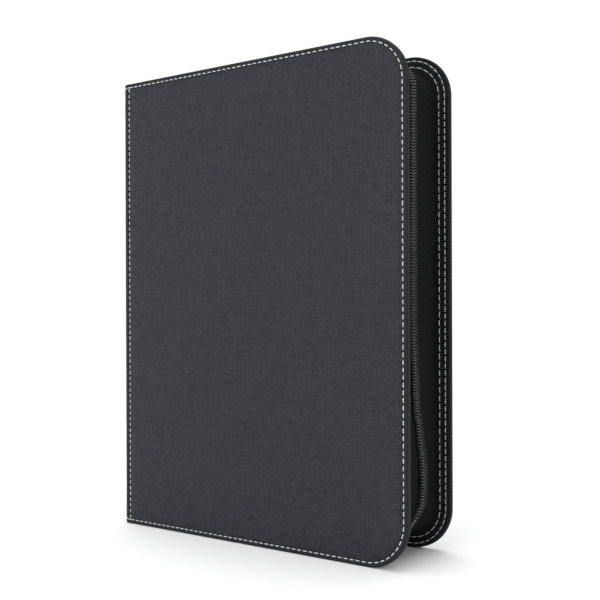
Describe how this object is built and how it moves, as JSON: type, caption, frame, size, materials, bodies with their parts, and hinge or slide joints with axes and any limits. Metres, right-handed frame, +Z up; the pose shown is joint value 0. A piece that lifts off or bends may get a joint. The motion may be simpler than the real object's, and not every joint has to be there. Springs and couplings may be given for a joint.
{
  "type": "trading card binder",
  "caption": "Zip-around binder of leatherette-covered boards that holds pocket pages for trading cards, standing closed on its lower edges.",
  "frame": {"origin": "middle of the footprint of the closed binder, on the surface that it stands on", "axes": "+X from the spine to the fore-edge, +Y from the front cover to the rear cover, +Z up the spine"},
  "size_m": [0.186, 0.05, 0.254],
  "materials": {
    "leatherette": "satin",
    "board": "matte",
    "foam": "matte",
    "lining": "matte",
    "thread": "satin",
    "webbing": "matte",
    "zip_tape": "matte",
    "zip_coil": "satin",
    "zip_metal": "satin",
    "page": "satin",
    "pocket_film": "gloss"
  },
  "bodies": {
    "spine": {"spine_board": "board", "spine_skin": "leatherette", "spine_lining": "lining", "spine_thread": "thread", "front_crease": "leatherette", "rear_crease": "leatherette", "binding_strip": "lining", "zip_stays": "webbing"},
    "front_cover": {"front_board": "board", "front_pad": "foam", "front_skin": "leatherette", "front_lining": "lining", "front_edge_thread": "thread", "front_webbing": "webbing", "front_webbing_thread": "thread", "front_tape": "zip_tape", "front_coil": "zip_coil", "front_zip_stops": "zip_metal"},
    "rear_cover": {"rear_board": "board", "rear_pad": "foam", "rear_skin": "leatherette", "rear_lining": "lining", "rear_edge_thread": "thread", "rear_webbing": "webbing", "rear_webbing_thread": "thread", "rear_tape": "zip_tape", "rear_coil": "zip_coil", "rear_zip_stops": "zip_metal"},
    "slider": {"slider_body": "zip_metal"},
    "pull": {"pull_tab": "zip_metal"},
    "page_01": {"page_01": "page"},
    "page_02": {"page_02": "page"},
    "page_03": {"page_03": "page"},
    "page_04": {"page_04": "page"},
    "page_05": {"page_05": "page"},
    "page_06": {"page_06": "page"},
    "page_07": {"page_07": "page"},
    "page_08": {"page_08": "page"},
    "page_09": {"page_09": "page"},
    "page_10": {"page_10": "page"},
    "page_11": {"page_11": "page"},
    "page_12": {"page_12": "page"},
    "page_13": {"page_13": "page"},
    "page_14": {"page_14": "page"},
    "page_15": {"page_15": "page"},
    "page_16": {"page_16": "page"},
    "page_17": {"page_17": "page"},
    "page_18": {"page_18": "page"},
    "page_19": {"page_19": "page"},
    "page_20": {"page_20": "page"}
  },
  "joints": [
    {"name": "front_cover_hinge", "type": "hinge", "parent": "spine", "child": "front_cover", "pos_m": [-0.09183, -0.02383, 0.127], "axis": [0, 0, -1], "range_deg": [0, 90]},
    {"name": "rear_cover_hinge", "type": "hinge", "parent": "spine", "child": "rear_cover", "pos_m": [-0.09183, 0.02383, 0.127], "axis": [0, 0, 1], "range_deg": [0, 90]},
    {"name": "slider_slide", "type": "slide", "parent": "rear_cover", "child": "slider", "axis": [1, 0, 0], "range_m": [-0.0046, 0.118]},
    {"name": "pull_hinge", "type": "hinge", "parent": "slider", "child": "pull", "pos_m": [-0.058, 0, 0.2503], "axis": [0, -1, 0], "range_deg": [0, 180]},
    {"name": "page_01_hinge", "type": "hinge", "parent": "spine", "child": "page_01", "pos_m": [-0.0866, -0.0171, 0.127], "axis": [0, 0, -1], "range_deg": [0, 88.7]},
    {"name": "page_02_hinge", "type": "hinge", "parent": "spine", "child": "page_02", "pos_m": [-0.0861, -0.0153, 0.127], "axis": [0, 0, -1], "range_deg": [0, 88.16]},
    {"name": "page_03_hinge", "type": "hinge", "parent": "spine", "child": "page_03", "pos_m": [-0.0856, -0.0135, 0.127], "axis": [0, 0, -1], "range_deg": [0, 87.62]},
    {"name": "page_04_hinge", "type": "hinge", "parent": "spine", "child": "page_04", "pos_m": [-0.0851, -0.0117, 0.127], "axis": [0, 0, -1], "range_deg": [0, 87.08]},
    {"name": "page_05_hinge", "type": "hinge", "parent": "spine", "child": "page_05", "pos_m": [-0.0846, -0.0099, 0.127], "axis": [0, 0, -1], "range_deg": [0, 86.54]},
    {"name": "page_06_hinge", "type": "hinge", "parent": "spine", "child": "page_06", "pos_m": [-0.0841, -0.0081, 0.127], "axis": [0, 0, -1], "range_deg": [0, 86]},
    {"name": "page_07_hinge", "type": "hinge", "parent": "spine", "child": "page_07", "pos_m": [-0.0836, -0.0063, 0.127], "axis": [0, 0, -1], "range_deg": [0, 85.46]},
    {"name": "page_08_hinge", "type": "hinge", "parent": "spine", "child": "page_08", "pos_m": [-0.0831, -0.0045, 0.127], "axis": [0, 0, -1], "range_deg": [0, 84.92]},
    {"name": "page_09_hinge", "type": "hinge", "parent": "spine", "child": "page_09", "pos_m": [-0.0826, -0.0027, 0.127], "axis": [0, 0, -1], "range_deg": [0, 84.38]},
    {"name": "page_10_hinge", "type": "hinge", "parent": "spine", "child": "page_10", "pos_m": [-0.0821, -0.0009, 0.127], "axis": [0, 0, -1], "range_deg": [0, 83.84]},
    {"name": "page_11_hinge", "type": "hinge", "parent": "spine", "child": "page_11", "pos_m": [-0.0821, 0.0009, 0.127], "axis": [0, 0, 1], "range_deg": [0, 83.84]},
    {"name": "page_12_hinge", "type": "hinge", "parent": "spine", "child": "page_12", "pos_m": [-0.0826, 0.0027, 0.127], "axis": [0, 0, 1], "range_deg": [0, 84.38]},
    {"name": "page_13_hinge", "type": "hinge", "parent": "spine", "child": "page_13", "pos_m": [-0.0831, 0.0045, 0.127], "axis": [0, 0, 1], "range_deg": [0, 84.92]},
    {"name": "page_14_hinge", "type": "hinge", "parent": "spine", "child": "page_14", "pos_m": [-0.0836, 0.0063, 0.127], "axis": [0, 0, 1], "range_deg": [0, 85.46]},
    {"name": "page_15_hinge", "type": "hinge", "parent": "spine", "child": "page_15", "pos_m": [-0.0841, 0.0081, 0.127], "axis": [0, 0, 1], "range_deg": [0, 86]},
    {"name": "page_16_hinge", "type": "hinge", "parent": "spine", "child": "page_16", "pos_m": [-0.0846, 0.0099, 0.127], "axis": [0, 0, 1], "range_deg": [0, 86.54]},
    {"name": "page_17_hinge", "type": "hinge", "parent": "spine", "child": "page_17", "pos_m": [-0.0851, 0.0117, 0.127], "axis": [0, 0, 1], "range_deg": [0, 87.08]},
    {"name": "page_18_hinge", "type": "hinge", "parent": "spine", "child": "page_18", "pos_m": [-0.0856, 0.0135, 0.127], "axis": [0, 0, 1], "range_deg": [0, 87.62]},
    {"name": "page_19_hinge", "type": "hinge", "parent": "spine", "child": "page_19", "pos_m": [-0.0861, 0.0153, 0.127], "axis": [0, 0, 1], "range_deg": [0, 88.16]},
    {"name": "page_20_hinge", "type": "hinge", "parent": "spine", "child": "page_20", "pos_m": [-0.0866, 0.0171, 0.127], "axis": [0, 0, 1], "range_deg": [0, 88.7]}
  ],
  "couplings": [
    {"joint": "page_01_hinge", "follows": "front_cover_hinge", "ratio": 0.98},
    {"joint": "page_02_hinge", "follows": "front_cover_hinge", "ratio": 0.974},
    {"joint": "page_03_hinge", "follows": "front_cover_hinge", "ratio": 0.968},
    {"joint": "page_04_hinge", "follows": "front_cover_hinge", "ratio": 0.962},
    {"joint": "page_05_hinge", "follows": "front_cover_hinge", "ratio": 0.956},
    {"joint": "page_06_hinge", "follows": "front_cover_hinge", "ratio": 0.95},
    {"joint": "page_07_hinge", "follows": "front_cover_hinge", "ratio": 0.944},
    {"joint": "page_08_hinge", "follows": "front_cover_hinge", "ratio": 0.938},
    {"joint": "page_09_hinge", "follows": "front_cover_hinge", "ratio": 0.932},
    {"joint": "page_10_hinge", "follows": "front_cover_hinge", "ratio": 0.926},
    {"joint": "page_11_hinge", "follows": "rear_cover_hinge", "ratio": 0.926},
    {"joint": "page_12_hinge", "follows": "rear_cover_hinge", "ratio": 0.932},
    {"joint": "page_13_hinge", "follows": "rear_cover_hinge", "ratio": 0.938},
    {"joint": "page_14_hinge", "follows": "rear_cover_hinge", "ratio": 0.944},
    {"joint": "page_15_hinge", "follows": "rear_cover_hinge", "ratio": 0.95},
    {"joint": "page_16_hinge", "follows": "rear_cover_hinge", "ratio": 0.956},
    {"joint": "page_17_hinge", "follows": "rear_cover_hinge", "ratio": 0.962},
    {"joint": "page_18_hinge", "follows": "rear_cover_hinge", "ratio": 0.968},
    {"joint": "page_19_hinge", "follows": "rear_cover_hinge", "ratio": 0.974},
    {"joint": "page_20_hinge", "follows": "rear_cover_hinge", "ratio": 0.98}
  ]
}
